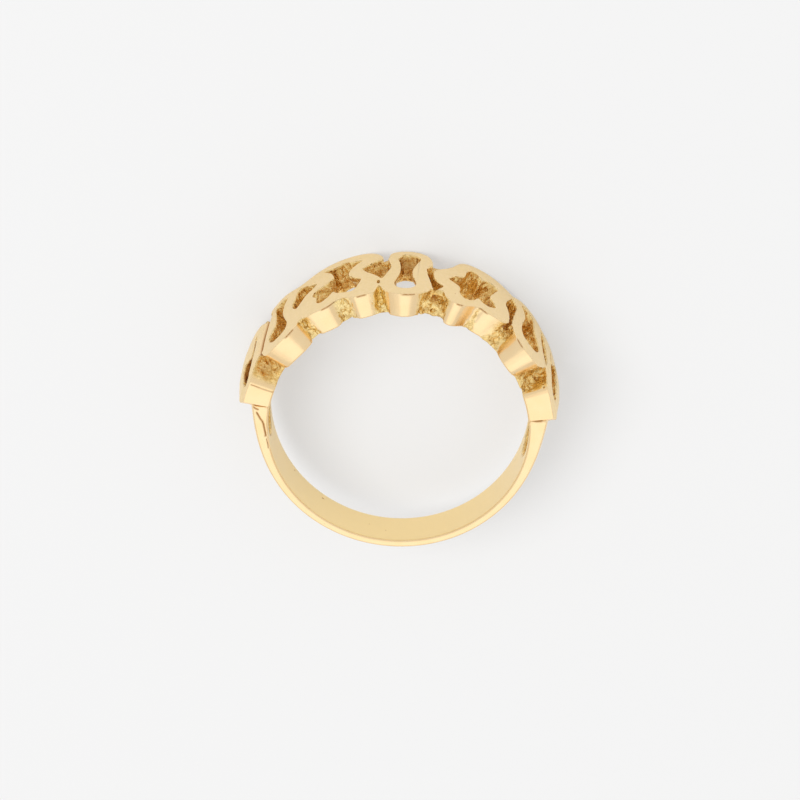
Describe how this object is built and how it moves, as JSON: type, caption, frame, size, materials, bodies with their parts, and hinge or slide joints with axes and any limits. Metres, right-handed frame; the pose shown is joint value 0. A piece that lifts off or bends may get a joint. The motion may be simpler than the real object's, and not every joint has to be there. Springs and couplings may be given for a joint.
{
  "type": "finger ring",
  "caption": "Gold finger ring: a wide openwork head of rounded cells, cut through and lobed along both edges, on a narrow low-domed shank.",
  "frame": {"origin": "centre of the finger hole, half way along the middle cell", "axes": "+Z along the finger hole, out of the side that faces up as the ring lies; +Y from the finger hole to the middle of the head; +X to the right"},
  "size_m": [0.0207, 0.0193, 0.007],
  "materials": {
    "gold": "polished yellow gold, satin on the face of the head"
  },
  "bodies": {
    "root": {"ring": "gold"}
  },
  "joints": []
}
